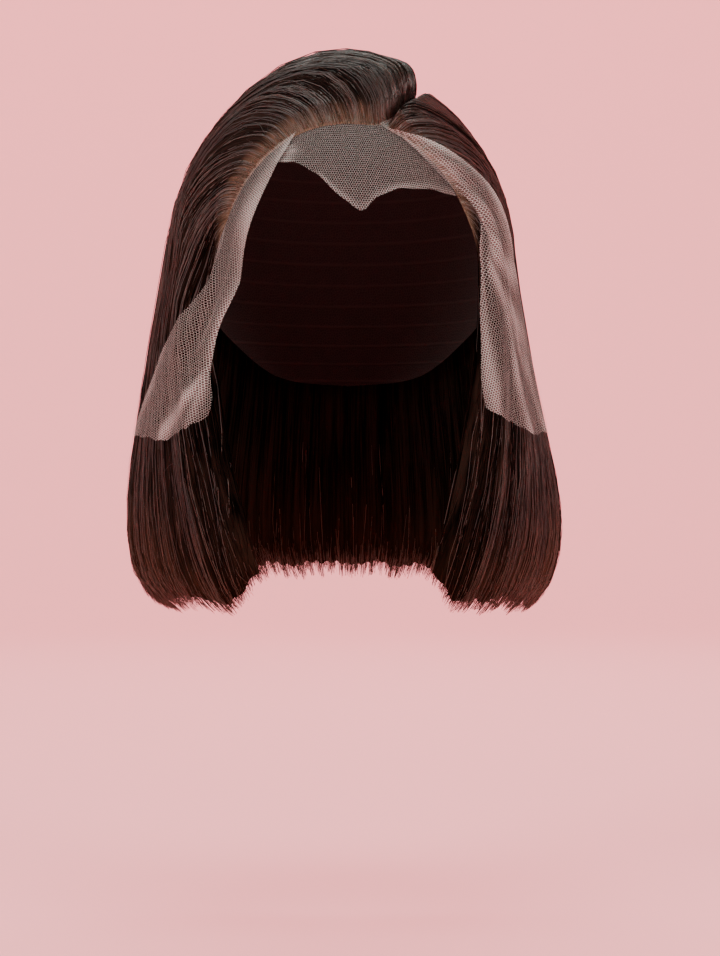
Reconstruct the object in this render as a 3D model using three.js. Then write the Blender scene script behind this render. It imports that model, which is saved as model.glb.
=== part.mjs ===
// A side-parted bob wig with its lace front uncut, in millimetres. +Z is up and the face side looks along -Y.
// The origin is the seat: the place inside the cap that rests on the crown of the head.
import * as THREE from "three";
import { mergeVertices } from "three/addons/utils/BufferGeometryUtils.js";

// The head that the wig is made for
const headHalfWidth = 77;
const headHalfDepth = 97;
const headHeight = 90; // from the widest level up to the crown

// The cap and the lace
const capWall = 1.2;
const laceWall = 1;
const capToLace = 0.6; // degrees between the edge of the cap and the lace sewn to it
const pieceGap = 0.4; // between pieces that touch on the real wig
const hairClear = 1.4; // between the cap and the hair over it
const laceFloat = 0.9; // from the hair to the lappets that lie on it
const pleatHeight = 1.8;
const drapeTurn = 12; // degrees of lace from where it leaves the head to where it meets the edge of the hair

// The hair
const crownLoft = 23; // height of the swept hair over the crown
const hairDepth = 20; // thickness of the hair where it hangs at the sides
const hangLength = 184; // from the widest level of the head down to the longest tips
const partHalf = 1.2; // half the width of the bare line at the part
const lockRidge = 1.8; // how far a lock stands out from the groove beside it
const lockTurn = 7.5; // degrees round the head from one lock to the next
const rootDepth = 1.6; // thickness of the hair at its roots
const tipCut = 0.035; // share of hangLength by which the shortest strand of a lock is cut
const tipSkew = 0.39; // parts of a lock from its ridge to its shortest strand
const hairlineRise = 60; // path over which the sparse hair at the hairline reaches its full depth

// Resolution of the solids
const hairRows = 20;
const rowCrowding = 0.045; // rows of a hair solid are closest at the roots and at the tips
const hairColumnTurn = 2.9; // degrees between two columns of a hair solid
const gapTurn = 0.3; // degrees left between two hair solids
const laceRows = 16;
const laceTuckRows = 2; // of them under the hair
const capColumns = 44;
const capRows = 8;

// Hair, a row for each guide strand. "round" is where the strand leaves the dome of the head, in degrees
// from the front by way of the wearer's right, so that 90 is the right, 180 the back and 270 the left.
// "tipRound" is where its tip is. Roots and lifts are shares of the head's half width (across, left positive)
// and half depth (ahead). The strand leaves its root towards its lift, comes down past "shoulder", degrees
// below the crown, and hangs. "loft" is a share of crownLoft and "rise" a share of hairlineRise. "sparse" is
// 1 at the hairline and 0 at the part.
const guides = table(
  ["round", "tipRound", "across", "ahead", "liftAcross", "liftAhead", "shoulder", "loft", "rise", "sparse"],
  [56, 26, -0.8, 0.585, -0.805, 0.58, 89.6, 1, 1, 1],
  [59, 33, -0.765, 0.602, -0.795, 0.56, 85, 1, 1, 1],
  [63, 42, -0.69, 0.628, -0.75, 0.53, 80, 1, 1, 1],
  [67, 51, -0.56, 0.652, -0.64, 0.5, 75, 1, 1, 1],
  [71, 60, -0.38, 0.672, -0.45, 0.47, 69, 1, 1, 1],
  [75, 68, -0.18, 0.685, -0.22, 0.44, 63, 1, 1, 1],
  [80, 77, 0.03, 0.688, 0.02, 0.42, 58, 1, 1, 1],
  [85, 84, 0.2, 0.665, 0.2, 0.41, 54, 1, 0.9, 0.85],
  [90, 90, 0.29, 0.58, 0.27, 0.36, 52, 1, 0.72, 0.5],
  [97, 97, 0.355, 0.44, 0.31, 0.24, 51, 1, 0.52, 0.1],
  [108, 108, 0.42, 0.25, 0.34, 0.08, 51, 1, 0.46, 0],
  [122, 122, 0.45, -0.02, 0.34, -0.16, 52, 1, 0.46, 0],
  [138, 138, 0.4, -0.28, 0.27, -0.38, 56, 0.98, 0.46, 0],
  [158, 158, 0.407, -0.325, 0.35, -0.45, 60, 0.92, 0.4, 0],
  [180, 180, 0.437, -0.345, 0.43, -0.47, 62, 0.86, 0.35, 0],
  [202, 202, 0.468, -0.325, 0.52, -0.45, 64, 0.8, 0.3, 0],
  [222, 222, 0.475, -0.28, 0.58, -0.37, 66, 0.7, 0.15, 0],
  [238, 238, 0.465, -0.05, 0.6, -0.1, 63, 0.62, 0.08, 0],
  [252, 252, 0.45, 0.206, 0.58, 0.17, 62, 0.58, 0.08, 0],
  [264, 266, 0.375, 0.464, 0.5, 0.42, 63, 0.6, 0.1, 0.1],
  [274, 279, 0.24, 0.65, 0.4, 0.58, 66, 0.66, 0.5, 0.7],
  [282, 293, 0.4, 0.672, 0.52, 0.58, 71, 0.76, 1, 1],
  [290, 308, 0.56, 0.652, 0.66, 0.57, 76, 0.84, 1, 1],
  [298, 322, 0.72, 0.617, 0.77, 0.57, 83, 0.92, 1, 1],
  [304, 334, 0.8, 0.585, 0.805, 0.58, 89.6, 1, 1, 1],
);

// The solids of the hair, each between two of those places round the head
const hairSections = [
  { name: "hair_front_right", from: 56, to: 97 },
  { name: "hair_sweep_right", from: 97, to: 138 },
  { name: "hair_back", from: 138, to: 222 },
  { name: "hair_side_left", from: 222, to: 272 },
  { name: "hair_front_left", from: 272, to: 304 },
];

// Hanging hair, a row for each level from the widest level of the head (1) to the tips (2). "drop" is a share
// of hangLength. The outer form reaches right, left, ahead and behind, and the inner form the same with "in",
// by shares of the head's half width and half depth.
const hangs = table(
  ["level", "drop", "right", "left", "ahead", "behind", "inRight", "inLeft", "inAhead", "inBehind"],
  [1, 0, 1.25, 1.15, 1.155, 1.165, 1, 1, 1, 1],
  [1.2, 0.215, 1.36, 1.235, 1.02, 1.175, 1.06, 1.03, 0.865, 0.945],
  [1.4, 0.42, 1.436, 1.33, 0.915, 1.165, 1.115, 1.07, 0.765, 0.81],
  [1.6, 0.62, 1.506, 1.435, 0.83, 1.135, 1.185, 1.135, 0.675, 0.78],
  [1.75, 0.77, 1.516, 1.464, 0.77, 1.095, 1.22, 1.175, 0.625, 0.77],
  [1.85, 0.872, 1.478, 1.425, 0.71, 1.035, 1.22, 1.175, 0.575, 0.76],
  [1.93, 0.952, 1.37, 1.335, 0.645, 0.96, 1.165, 1.14, 0.525, 0.735],
  [2, 1, 1.19, 1.2, 0.57, 0.87, 1.05, 1.055, 0.475, 0.71],
);
const backLift = 0.075; // the back is cut this share of hangLength shorter than the front
const outerTrim = 0.025; // how much the wearer's right is drawn in halfway between crown and widest level

// Lower edge of the cap behind the lace, by degrees to either side of the front, in degrees below the crown
const capEdge = table(
  ["turn", "fall"],
  [0, 34],
  [22, 37.5],
  [37, 46],
  [48, 59],
  [56, 78],
  [66, 104],
  [78, 112],
  [94, 105],
  [114, 113],
  [140, 128],
  [180, 132],
);

// Free edge of the hair beside the face, in degrees from the front, by level: the crown is 0, the widest
// level of the head 1 and the tips 2
const hairEdge = table(
  ["level", "turn"],
  [0.5, 12],
  [0.556, 27.5],
  [0.66, 37.3],
  [0.767, 48.3],
  [0.86, 52],
  [1, 56],
  [1.2, 53],
  [1.4, 45.5],
  [1.6, 36.6],
);

// The lace in three parts side by side, a row for each thread line, by its place "across" the part. A line
// starts at the cap's edge ("tuck"), passes the hairline ("line") and a middle point ("mid") and ends at the
// cut hem ("end"). Turns are in degrees from the front towards the part's own side.
const rightLappet = table(
  ["across", "tuckTurn", "lineTurn", "lineLevel", "midTurn", "midLevel", "endTurn", "endLevel"],
  [0, 54, 54.5, 0.95, 53, 1.13, 78, 1.457],
  [0.25, 51, 52, 0.86, 50.5, 1.14, 62, 1.48],
  [0.5, 46, 47, 0.78, 48.5, 1.14, 52.5, 1.478],
  [0.75, 38, 39, 0.68, 46.7, 1.135, 45.5, 1.456],
  [1, 27.5, 27.7, 0.59, 45, 1.13, 42, 1.42],
);
const forehead = table(
  ["across", "tuckTurn", "lineTurn", "lineLevel", "midTurn", "midLevel", "endTurn", "endLevel"],
  [0, -27, -27, 0.59, -28, 0.625, -29, 0.66],
  [0.1, -21.8, -21.8, 0.565, -22.3, 0.617, -22.7, 0.668],
  [0.2, -16.6, -16.2, 0.55, -15.6, 0.63, -15, 0.71],
  [0.3, -11.6, -10.8, 0.53, -9.6, 0.646, -8.4, 0.762],
  [0.4, -6.8, -5.6, 0.52, -3.2, 0.671, -1, 0.822],
  [0.5, -2, -0.8, 0.518, 2.6, 0.685, 5.7, 0.858],
  [0.6, 2.8, 3.6, 0.517, 7.8, 0.665, 12, 0.815],
  [0.75, 10, 10.8, 0.517, 17, 0.645, 22.8, 0.778],
  [0.88, 15.2, 16, 0.515, 26, 0.64, 35, 0.768],
  [1, 20, 20.5, 0.52, 35, 0.645, 48, 0.785],
);
const leftLappet = table(
  ["across", "tuckTurn", "lineTurn", "lineLevel", "midTurn", "midLevel", "endTurn", "endLevel"],
  [0, 20, 20.7, 0.512, 64, 0.845, 78, 1.45],
  [0.25, 27.6, 28.2, 0.562, 60, 0.92, 70, 1.465],
  [0.5, 34.6, 35.4, 0.64, 57, 0.965, 60, 1.46],
  [0.75, 41, 42, 0.706, 54, 1, 51, 1.435],
  [1, 47, 48.3, 0.767, 51, 1.01, 44, 1.4],
);
const laceParts = [
  { lines: rightLappet, side: -1, columns: 11, pleats: 2, settle: 1, float: 0.5, folded: false },
  { lines: forehead, side: 1, columns: 17, pleats: 0, settle: 0, float: 0, folded: false },
  { lines: leftLappet, side: 1, columns: 12, pleats: 3, settle: 0.8, float: 0.5, folded: true },
];

const colours = { hair: 0x2c1a15, lace: 0xcdb9a4, cap: 0x1d1614 };

const radians = THREE.MathUtils.degToRad;

// Rows of numbers as records with the names of their columns.
function table(columns, ...rows) {
  return rows.map((row) => Object.fromEntries(columns.map((column, i) => [column, row[i]])));
}

// One column of a table at a place between its rows, on a smooth curve through them.
function read(rows, key, place, column) {
  const last = rows.length - 1;
  let i = 0;
  while (i < last - 1 && place > rows[i + 1][key]) i++;
  const [before, a, b, after] = [i - 1, i, i + 1, i + 2].map((n) => rows[THREE.MathUtils.clamp(n, 0, last)]);
  const span = b[key] - a[key];
  const t = THREE.MathUtils.clamp((place - a[key]) / span, 0, 1);
  const slope = (p, q) => ((q[column] - p[column]) / (q[key] - p[key])) * span;
  const start = slope(before, b);
  const end = slope(a, after);
  const rest = 1 - t;
  const values = a[column] * rest * rest * (1 + 2 * t) + b[column] * t * t * (1 + 2 * rest);
  return values + start * t * rest * rest - end * t * t * rest;
}

const ease = (t) => t * t * (3 - 2 * t);

// Unit direction from the middle of the head, by degrees round it and degrees below the crown.
function direction(round, fall) {
  const way = new THREE.Vector3(-Math.sin(radians(round)), -Math.cos(radians(round)), 0);
  return way.multiplyScalar(Math.sin(radians(fall))).setZ(Math.cos(radians(fall)));
}

// Unit direction of a place on the upper half of the head, by its shares of the half width and half depth.
function place(across, ahead) {
  const up = Math.sqrt(Math.max(0, 1 - across * across - ahead * ahead));
  return new THREE.Vector3(across, -ahead, up).normalize();
}

// A point a distance out from the head in a direction.
function headPoint(way, out) {
  const reach = new THREE.Vector3(headHalfWidth, headHalfDepth, headHeight).addScalar(out);
  return reach.multiply(way).add(new THREE.Vector3(0, 0, -headHeight));
}

// Outer form of the hair over the head, in a direction.
function loftPoint(way, loft) {
  const trim = 1 - outerTrim * 4 * way.z * way.z * (1 - way.z * way.z) * (0.5 - 0.5 * way.x);
  const wide = headHalfWidth * (way.x < 0 ? hangs[0].right : hangs[0].left);
  const deep = headHalfDepth * (way.y < 0 ? hangs[0].ahead : hangs[0].behind);
  const reach = new THREE.Vector3(wide, deep, headHeight + loft).multiplyScalar(trim);
  return reach.multiply(way).add(new THREE.Vector3(0, 0, -headHeight));
}

// Outer and inner form of the hanging hair at a level, in a direction round the head.
function hangPoints(round, level) {
  const x = -Math.sin(radians(round));
  const y = -Math.cos(radians(round));
  const share = (column) => read(hangs, "level", level, column);
  const [wide, inWide] = x < 0 ? [share("right"), share("inRight")] : [share("left"), share("inLeft")];
  const [deep, inDeep] = y < 0 ? [share("ahead"), share("inAhead")] : [share("behind"), share("inBehind")];
  const shorter = backLift * Math.max(0, y) * ease(level - 1);
  const z = -headHeight - hangLength * (share("drop") - shorter);
  const tipLift = (hairDepth / 3) * ease(THREE.MathUtils.clamp((level - 1.7) / 0.3, 0, 1));
  const clear = capWall + hairClear;
  const outer = new THREE.Vector3(x * headHalfWidth * wide, y * headHalfDepth * deep, z);
  const inner = new THREE.Vector3(x * headHalfWidth * inWide, y * headHalfDepth * inDeep, z + tipLift);
  return { outer, inner: inner.add(new THREE.Vector3(x * clear, y * clear, 0)) };
}

// The path of a guide strand: where it is after a length along it, with the outer and inner form there.
function strand(round) {
  const g = (column) => read(guides, "round", round, column);
  const clear = direction(round, 90).multiplyScalar(partHalf / headHalfWidth);
  const root = place(g("across"), g("ahead")).add(clear).normalize();
  const lift = place(g("liftAcross"), g("liftAhead")).add(clear).normalize();
  const shoulder = direction(round, g("shoulder"));
  const leave = direction(round, 90);
  const overAngle = root.angleTo(lift) + lift.angleTo(shoulder) + shoulder.angleTo(leave);
  const overLength = overAngle * (headHalfWidth + hairDepth / 2);
  const loft = crownLoft * g("loft");
  const sparse = g("sparse");
  const fullAt = hairlineRise * g("rise");
  const at = (length) => {
    let forms;
    if (length < overLength) {
      const t = length / overLength;
      const r = 1 - t;
      const way = root.clone().multiplyScalar(r * r * r);
      way.addScaledVector(lift, 3 * r * r * t);
      way.addScaledVector(shoulder, 3 * r * t * t);
      way.addScaledVector(leave, t * t * t);
      way.normalize();
      forms = { outer: loftPoint(way, loft), inner: headPoint(way, capWall + hairClear) };
    } else {
      const level = 1 + (length - overLength) / hangLength;
      const drift = ease(level - 1) * (g("tipRound") - round);
      forms = hangPoints(round + drift, level);
    }
    const up = 1 - Math.min(1, length / fullAt);
    const risen = Math.sqrt(1 - up * up) * (1 - sparse) + ease(1 - up) * sparse;
    const first = rootDepth / forms.outer.distanceTo(forms.inner);
    return { ...forms, risen: first + (1 - first) * risen };
  };
  return { at, length: overLength + hangLength };
}

// A place round the head in its lock, from 0 in the groove to 1 on the ridge. Wide and narrow locks
// alternate, and "skew" shifts them by parts of a lock.
function onLock(round, skew = 0) {
  const lock = 2 * Math.PI * (round / lockTurn + skew);
  return 0.5 + 0.28 * Math.cos(lock) + 0.22 * Math.cos(lock / 1.618 + skew);
}

// A closed solid between two grids of points, rows of columns. "ring" joins the last column to the first,
// and "slit" says which cells are left out.
function solidBetween(outer, inner, { ring = false, slit = () => false } = {}) {
  const rows = outer.length;
  const columns = outer[0].length;
  const points = [...outer.flat(), ...inner.flat()];
  const under = rows * columns;
  const triangles = [];
  const quad = (a, b, c, d) => triangles.push([a, b, c], [a, c, d]);
  const cells = ring ? columns : columns - 1;
  const has = (j, i) => j >= 0 && j < rows - 1 && (ring || (i >= 0 && i < cells)) && !slit(j, i);
  for (let j = 0; j < rows - 1; j++) {
    for (let i = 0; i < cells; i++) {
      if (slit(j, i)) continue;
      const k = (i + 1) % columns;
      const [a, b, c, d] = [j * columns + i, (j + 1) * columns + i, (j + 1) * columns + k, j * columns + k];
      quad(a, b, c, d);
      quad(under + a, under + d, under + c, under + b);
      if (!has(j - 1, i)) quad(a, d, under + d, under + a);
      if (!has(j + 1, i)) quad(c, b, under + b, under + c);
      if (!has(j, i - 1)) quad(b, a, under + a, under + b);
      if (!has(j, i + 1)) quad(c, under + c, under + d, d);
    }
  }
  return meshOf(points, triangles);
}

// A geometry of points and triangles, less those with no area, with its faces pointing out.
function meshOf(points, triangles) {
  const kept = triangles.filter(([a, b, c]) => {
    const [p, q, r] = [points[a], points[b], points[c]];
    return p.distanceTo(q) > 1e-3 && q.distanceTo(r) > 1e-3 && r.distanceTo(p) > 1e-3;
  });
  const volume = kept.reduce((sum, [a, b, c]) => sum + points[a].dot(points[b].clone().cross(points[c])), 0);
  const facing = volume < 0 ? kept.map(([a, b, c]) => [a, c, b]) : kept;
  const geometry = new THREE.BufferGeometry();
  const positions = points.flatMap((point) => point.toArray());
  geometry.setAttribute("position", new THREE.Float32BufferAttribute(positions, 3));
  geometry.setIndex(facing.flat());
  return mergeVertices(geometry, 1e-3);
}

// The hair whose strands leave the head between two places round it.
function hairSection(from, to) {
  const columns = Math.round((to - from) / hairColumnTurn);
  const outer = [];
  const inner = [];
  const first = from + gapTurn / 2;
  const span = to - from - gapTurn;
  const rounds = Array.from({ length: columns + 1 }, (_, i) => first + (span * i) / columns);
  const strands = rounds.map((round) => ({ round, ...strand(round) }));
  for (let j = 0; j <= hairRows; j++) {
    const along = j / hairRows - rowCrowding * Math.sin((2 * Math.PI * j) / hairRows);
    const row = strands.map(({ round, at, length }) => {
      const here = at(along * (length - tipCut * hangLength * onLock(round, tipSkew)));
      const thick = here.outer.distanceTo(here.inner);
      const groove = (lockRidge * (1 - onLock(round)) * Math.min(1, along * 6)) / thick;
      const share = here.risen * (1 - groove);
      return { over: here.inner.clone().lerp(here.outer, share), under: here.inner };
    });
    // The first and last columns are drawn in, so that neighbouring sections stay apart
    for (const [edge, next] of [[0, 1], [columns, columns - 1]]) {
      for (const side of ["over", "under"]) {
        const inwards = row[next][side].clone().sub(row[edge][side]);
        const draw = Math.min(pieceGap / 2, inwards.length() / 3);
        row[edge][side] = row[edge][side].clone().addScaledVector(inwards.normalize(), draw);
      }
    }
    outer.push(row.map((p) => p.over));
    inner.push(row.map((p) => p.under));
  }
  return solidBetween(outer, inner);
}

// The crown cap, a net dome open below and at the face
function crownCap() {
  const grids = [capWall, 0].map((out) =>
    Array.from({ length: capRows + 1 }, (_, j) =>
      Array.from({ length: capColumns }, (_, i) => {
        const round = (360 * i) / capColumns;
        const fall = read(capEdge, "turn", Math.min(round, 360 - round), "fall");
        return headPoint(direction(round, (fall * j) / capRows), out);
      }),
    ),
  );
  return solidBetween(grids[0], grids[1], { ring: true });
}

// A point of the lace at a turn to the wearer's left and a level. "onHair" is 0 on the head, 1 on the hair.
function lacePoint(turn, level, onHair, out) {
  const round = 360 - turn;
  const way = direction(round, Math.min(level, 1) * 90);
  const bare = headPoint(way, out);
  if (level > 1) bare.z -= hangLength * read(hangs, "level", level, "drop");
  const over = level > 1 ? hangPoints(round, level).outer : loftPoint(way, crownLoft / 2);
  const off = new THREE.Vector3(way.x, way.y, 0).normalize();
  over.addScaledVector(off, laceFloat + out);
  return bare.lerp(over, onHair);
}

// Level at which the lace starts, just below the edge of the cap, under the hair.
function laceStart(turn) {
  return (read(capEdge, "turn", Math.abs(turn), "fall") + capToLace) / 90;
}

// One thread line of the lace: its under and upper points from the cap's edge to the cut hem.
function threadLine({ lines, side, pleats, settle, float, folded }, across) {
  const stations = ["tuck", "line", "mid", "end"].map((name, at) => {
    const turn = read(lines, "across", across, name + "Turn");
    return { at, turn, level: at ? read(lines, "across", across, name + "Level") : laceStart(turn) };
  });
  return Array.from({ length: laceRows + 1 }, (_, j) => {
    const past = j - laceTuckRows;
    const along = 1 + (past < 0 ? past / laceTuckRows : (2 * past) / (laceRows - laceTuckRows));
    const hang = settle ? THREE.MathUtils.clamp((along - 1) / settle, 0, 1) : 0;
    const pleat = pleatHeight * hang * (0.5 - 0.5 * Math.cos(2 * Math.PI * pleats * across));
    const [turn, level] = ["turn", "level"].map((column) => read(stations, "at", along, column));
    const beside = (read(hairEdge, "level", level, "turn") - turn) / drapeTurn;
    const lying = folded ? 1 - (1 - hang) * (1 - hang) : ease(hang);
    const onHair = lying * THREE.MathUtils.clamp(1 - beside, 0, 1);
    const low = pleat + float * laceWall;
    const out = [low, low + laceWall];
    // A lappet that is folded back over the hair turns over at the hairline
    const fold = folded && j === laceTuckRows ? laceWall / headHeight : 0;
    const [overOut, underOut] = fold ? [out[1], out[1]] : folded && j > laceTuckRows ? out : [out[1], out[0]];
    return {
      over: lacePoint(side * turn, level + fold, onHair, overOut),
      under: lacePoint(side * turn, level - fold, onHair, underOut),
    };
  });
}

// The lace, one sheet slit beside the forehead from the hairline to the hem where the lappets leave it.
function laceSheet() {
  const lines = [];
  const joins = [];
  for (const part of laceParts) {
    for (let i = 0; i <= part.columns; i++) lines.push(threadLine(part, i / part.columns));
    joins.push(lines.length - 1);
  }
  const [outer, inner] = ["over", "under"].map((face) => {
    return Array.from({ length: laceRows + 1 }, (_, j) => lines.map((line) => line[j][face]));
  });
  return solidBetween(outer, inner, { slit: (j, i) => joins.includes(i) && j >= laceTuckRows });
}

function named(name, geometry, colour, roughness) {
  const material = new THREE.MeshStandardMaterial({ color: colour, roughness, metalness: 0 });
  const mesh = new THREE.Mesh(geometry, material);
  mesh.name = name;
  return mesh;
}

const wig = new THREE.Group();
wig.add(named("crown_cap", crownCap(), colours.cap, 0.9));
wig.add(named("lace_front", laceSheet(), colours.lace, 0.8));
for (const { name, from, to } of hairSections) {
  wig.add(named(name, hairSection(from, to), colours.hair, 0.4));
}
wig.updateMatrixWorld(true);

export default wig;
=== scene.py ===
import math
import bpy
import numpy as np
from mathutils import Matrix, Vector


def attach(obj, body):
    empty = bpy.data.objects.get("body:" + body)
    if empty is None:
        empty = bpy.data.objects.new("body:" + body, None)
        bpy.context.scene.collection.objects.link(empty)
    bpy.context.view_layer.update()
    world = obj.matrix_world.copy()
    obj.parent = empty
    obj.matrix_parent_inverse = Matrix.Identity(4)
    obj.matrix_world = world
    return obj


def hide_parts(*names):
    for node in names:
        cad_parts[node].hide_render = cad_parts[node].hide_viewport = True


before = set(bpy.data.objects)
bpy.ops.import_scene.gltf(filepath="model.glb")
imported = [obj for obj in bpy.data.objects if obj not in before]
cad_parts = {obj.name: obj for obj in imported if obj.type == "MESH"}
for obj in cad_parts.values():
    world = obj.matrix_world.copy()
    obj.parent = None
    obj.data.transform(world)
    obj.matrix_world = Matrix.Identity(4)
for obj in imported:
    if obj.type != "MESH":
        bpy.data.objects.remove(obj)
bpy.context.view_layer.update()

# Camera first: level, a little to the wearer's left of the middle, 1.25 m in front of the ears
shot = {"place": (0.0064, -1.25, -0.202), "lens": 88.8}
camera = bpy.data.objects.new("camera", bpy.data.cameras.new("camera"))
bpy.context.collection.objects.link(camera)
camera.location = shot["place"]
camera.rotation_euler = (math.pi / 2, 0, 0)
camera.data.lens = shot["lens"]
camera.data.sensor_width = 36
bpy.context.scene.camera = camera
print("camera set")


# the same sizes and tables as in the part's source, lengths in metres
head = {"halfWidth": 0.077, "halfDepth": 0.097, "rise": 0.09}
wall = {"cap": 0.0012, "hairClear": 0.0014, "lace": 0.001}
hair = {
    "crownLoft": 0.023, "hang": 0.184, "depth": 0.02, "partHalf": 0.0012, "hairlineRise": 0.06,
    "rootDepth": 0.0016, "lockTurn": 7.5, "lockRidge": 0.0018, "tipCut": 0.035, "tipSkew": 0.39,
    "outerTrim": 0.025, "backLift": 0.075, "curlLevel": 1.7, "curlSpan": 0.3,
}


def table(columns, *rows):
    return dict(zip(columns.split(), np.array(rows, dtype=float).T))


# where each guide strand leaves the dome (round), its tip, its root and the way it leaves it
guides = table(
    "round tipRound across ahead liftAcross liftAhead shoulder loft rise sparse",
    (56, 26, -0.8, 0.585, -0.805, 0.58, 89.6, 1, 1, 1),
    (59, 33, -0.765, 0.602, -0.795, 0.56, 85, 1, 1, 1),
    (63, 42, -0.69, 0.628, -0.75, 0.53, 80, 1, 1, 1),
    (67, 51, -0.56, 0.652, -0.64, 0.5, 75, 1, 1, 1),
    (71, 60, -0.38, 0.672, -0.45, 0.47, 69, 1, 1, 1),
    (75, 68, -0.18, 0.685, -0.22, 0.44, 63, 1, 1, 1),
    (80, 77, 0.03, 0.688, 0.02, 0.42, 58, 1, 1, 1),
    (85, 84, 0.2, 0.665, 0.2, 0.41, 54, 1, 0.9, 0.85),
    (90, 90, 0.29, 0.58, 0.27, 0.36, 52, 1, 0.72, 0.5),
    (97, 97, 0.355, 0.44, 0.31, 0.24, 51, 1, 0.52, 0.1),
    (108, 108, 0.42, 0.25, 0.34, 0.08, 51, 1, 0.46, 0),
    (122, 122, 0.45, -0.02, 0.34, -0.16, 52, 1, 0.46, 0),
    (138, 138, 0.4, -0.28, 0.27, -0.38, 56, 0.98, 0.46, 0),
    (158, 158, 0.407, -0.325, 0.35, -0.45, 60, 0.92, 0.4, 0),
    (180, 180, 0.437, -0.345, 0.43, -0.47, 62, 0.86, 0.35, 0),
    (202, 202, 0.468, -0.325, 0.52, -0.45, 64, 0.8, 0.3, 0),
    (222, 222, 0.475, -0.28, 0.58, -0.37, 66, 0.7, 0.15, 0),
    (238, 238, 0.465, -0.05, 0.6, -0.1, 63, 0.62, 0.08, 0),
    (252, 252, 0.45, 0.206, 0.58, 0.17, 62, 0.58, 0.08, 0),
    (264, 266, 0.375, 0.464, 0.5, 0.42, 63, 0.6, 0.1, 0.1),
    (274, 279, 0.24, 0.65, 0.4, 0.58, 66, 0.66, 0.5, 0.7),
    (282, 293, 0.4, 0.672, 0.52, 0.58, 71, 0.76, 1, 1),
    (290, 308, 0.56, 0.652, 0.66, 0.57, 76, 0.84, 1, 1),
    (298, 322, 0.72, 0.617, 0.77, 0.57, 83, 0.92, 1, 1),
    (304, 334, 0.8, 0.585, 0.805, 0.58, 89.6, 1, 1, 1),
)
hangs = table(
    "level drop right left ahead behind inRight inLeft inAhead inBehind",
    (1, 0, 1.25, 1.15, 1.155, 1.165, 1, 1, 1, 1),
    (1.2, 0.215, 1.36, 1.235, 1.02, 1.175, 1.06, 1.03, 0.865, 0.945),
    (1.4, 0.42, 1.436, 1.33, 0.915, 1.165, 1.115, 1.07, 0.765, 0.81),
    (1.6, 0.62, 1.506, 1.435, 0.83, 1.135, 1.185, 1.135, 0.675, 0.78),
    (1.75, 0.77, 1.516, 1.464, 0.77, 1.095, 1.22, 1.175, 0.625, 0.77),
    (1.85, 0.872, 1.478, 1.425, 0.71, 1.035, 1.22, 1.175, 0.575, 0.76),
    (1.93, 0.952, 1.37, 1.335, 0.645, 0.96, 1.165, 1.14, 0.525, 0.735),
    (2, 1, 1.19, 1.2, 0.57, 0.87, 1.05, 1.055, 0.475, 0.71),
)
capEdge = table(
    "turn fall",
    (0, 34),
    (22, 37.5),
    (37, 46),
    (48, 59),
    (56, 78),
    (66, 104),
    (78, 112),
    (94, 105),
    (114, 113),
    (140, 128),
    (180, 132),
)
hairEdge = table(
    "level turn",
    (0.5, 12),
    (0.556, 27.5),
    (0.66, 37.3),
    (0.767, 48.3),
    (0.86, 52),
    (1, 56),
    (1.2, 53),
    (1.4, 45.5),
    (1.6, 36.6),
)
laceColumns = "across tuckTurn lineTurn lineLevel midTurn midLevel endTurn endLevel"
rightLappet = table(
    laceColumns,
    (0, 54, 54.5, 0.95, 53, 1.13, 78, 1.457),
    (0.25, 51, 52, 0.86, 50.5, 1.14, 62, 1.48),
    (0.5, 46, 47, 0.78, 48.5, 1.14, 52.5, 1.478),
    (0.75, 38, 39, 0.68, 46.7, 1.135, 45.5, 1.456),
    (1, 27.5, 27.7, 0.59, 45, 1.13, 42, 1.42),
)
forehead = table(
    laceColumns,
    (0, -27, -27, 0.59, -28, 0.625, -29, 0.66),
    (0.1, -21.8, -21.8, 0.565, -22.3, 0.617, -22.7, 0.668),
    (0.2, -16.6, -16.2, 0.55, -15.6, 0.63, -15, 0.71),
    (0.3, -11.6, -10.8, 0.53, -9.6, 0.646, -8.4, 0.762),
    (0.4, -6.8, -5.6, 0.52, -3.2, 0.671, -1, 0.822),
    (0.5, -2, -0.8, 0.518, 2.6, 0.685, 5.7, 0.858),
    (0.6, 2.8, 3.6, 0.517, 7.8, 0.665, 12, 0.815),
    (0.75, 10, 10.8, 0.517, 17, 0.645, 22.8, 0.778),
    (0.88, 15.2, 16, 0.515, 26, 0.64, 35, 0.768),
    (1, 20, 20.5, 0.52, 35, 0.645, 48, 0.785),
)
leftLappet = table(
    laceColumns,
    (0, 20, 20.7, 0.512, 64, 0.845, 78, 1.45),
    (0.25, 27.6, 28.2, 0.562, 60, 0.92, 70, 1.465),
    (0.5, 34.6, 35.4, 0.64, 57, 0.965, 60, 1.46),
    (0.75, 41, 42, 0.706, 54, 1, 51, 1.435),
    (1, 47, 48.3, 0.767, 51, 1.01, 44, 1.4),
)


def curve(a, b, start, end, t):  # from a to b, with a slope at each end
    r = 1 - t
    return a * r * r * (1 + 2 * t) + b * t * t * (1 + 2 * r) + start * t * r * r - end * t * t * r


# a column of a table at any places between its rows, on a smooth curve through them
def readRows(rows, key, places, column):
    keys, values = rows[key], rows[column]
    last = len(keys) - 1
    places = np.asarray(places, dtype=float)
    i = np.clip(np.searchsorted(keys, places, side="left") - 1, 0, last - 1)
    before, after = np.maximum(i - 1, 0), np.minimum(i + 2, last)
    span = keys[i + 1] - keys[i]
    t = np.clip((places - keys[i]) / span, 0, 1)
    start = (values[i + 1] - values[before]) / (keys[i + 1] - keys[before]) * span
    end = (values[after] - values[i]) / (keys[after] - keys[i]) * span
    return curve(values[i], values[i + 1], start, end, t)


def ease(t):
    t = np.clip(t, 0, 1)
    return t * t * (3 - 2 * t)


def unit(v):
    return v / np.maximum(np.linalg.norm(v, axis=-1, keepdims=True), 1e-9)


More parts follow.
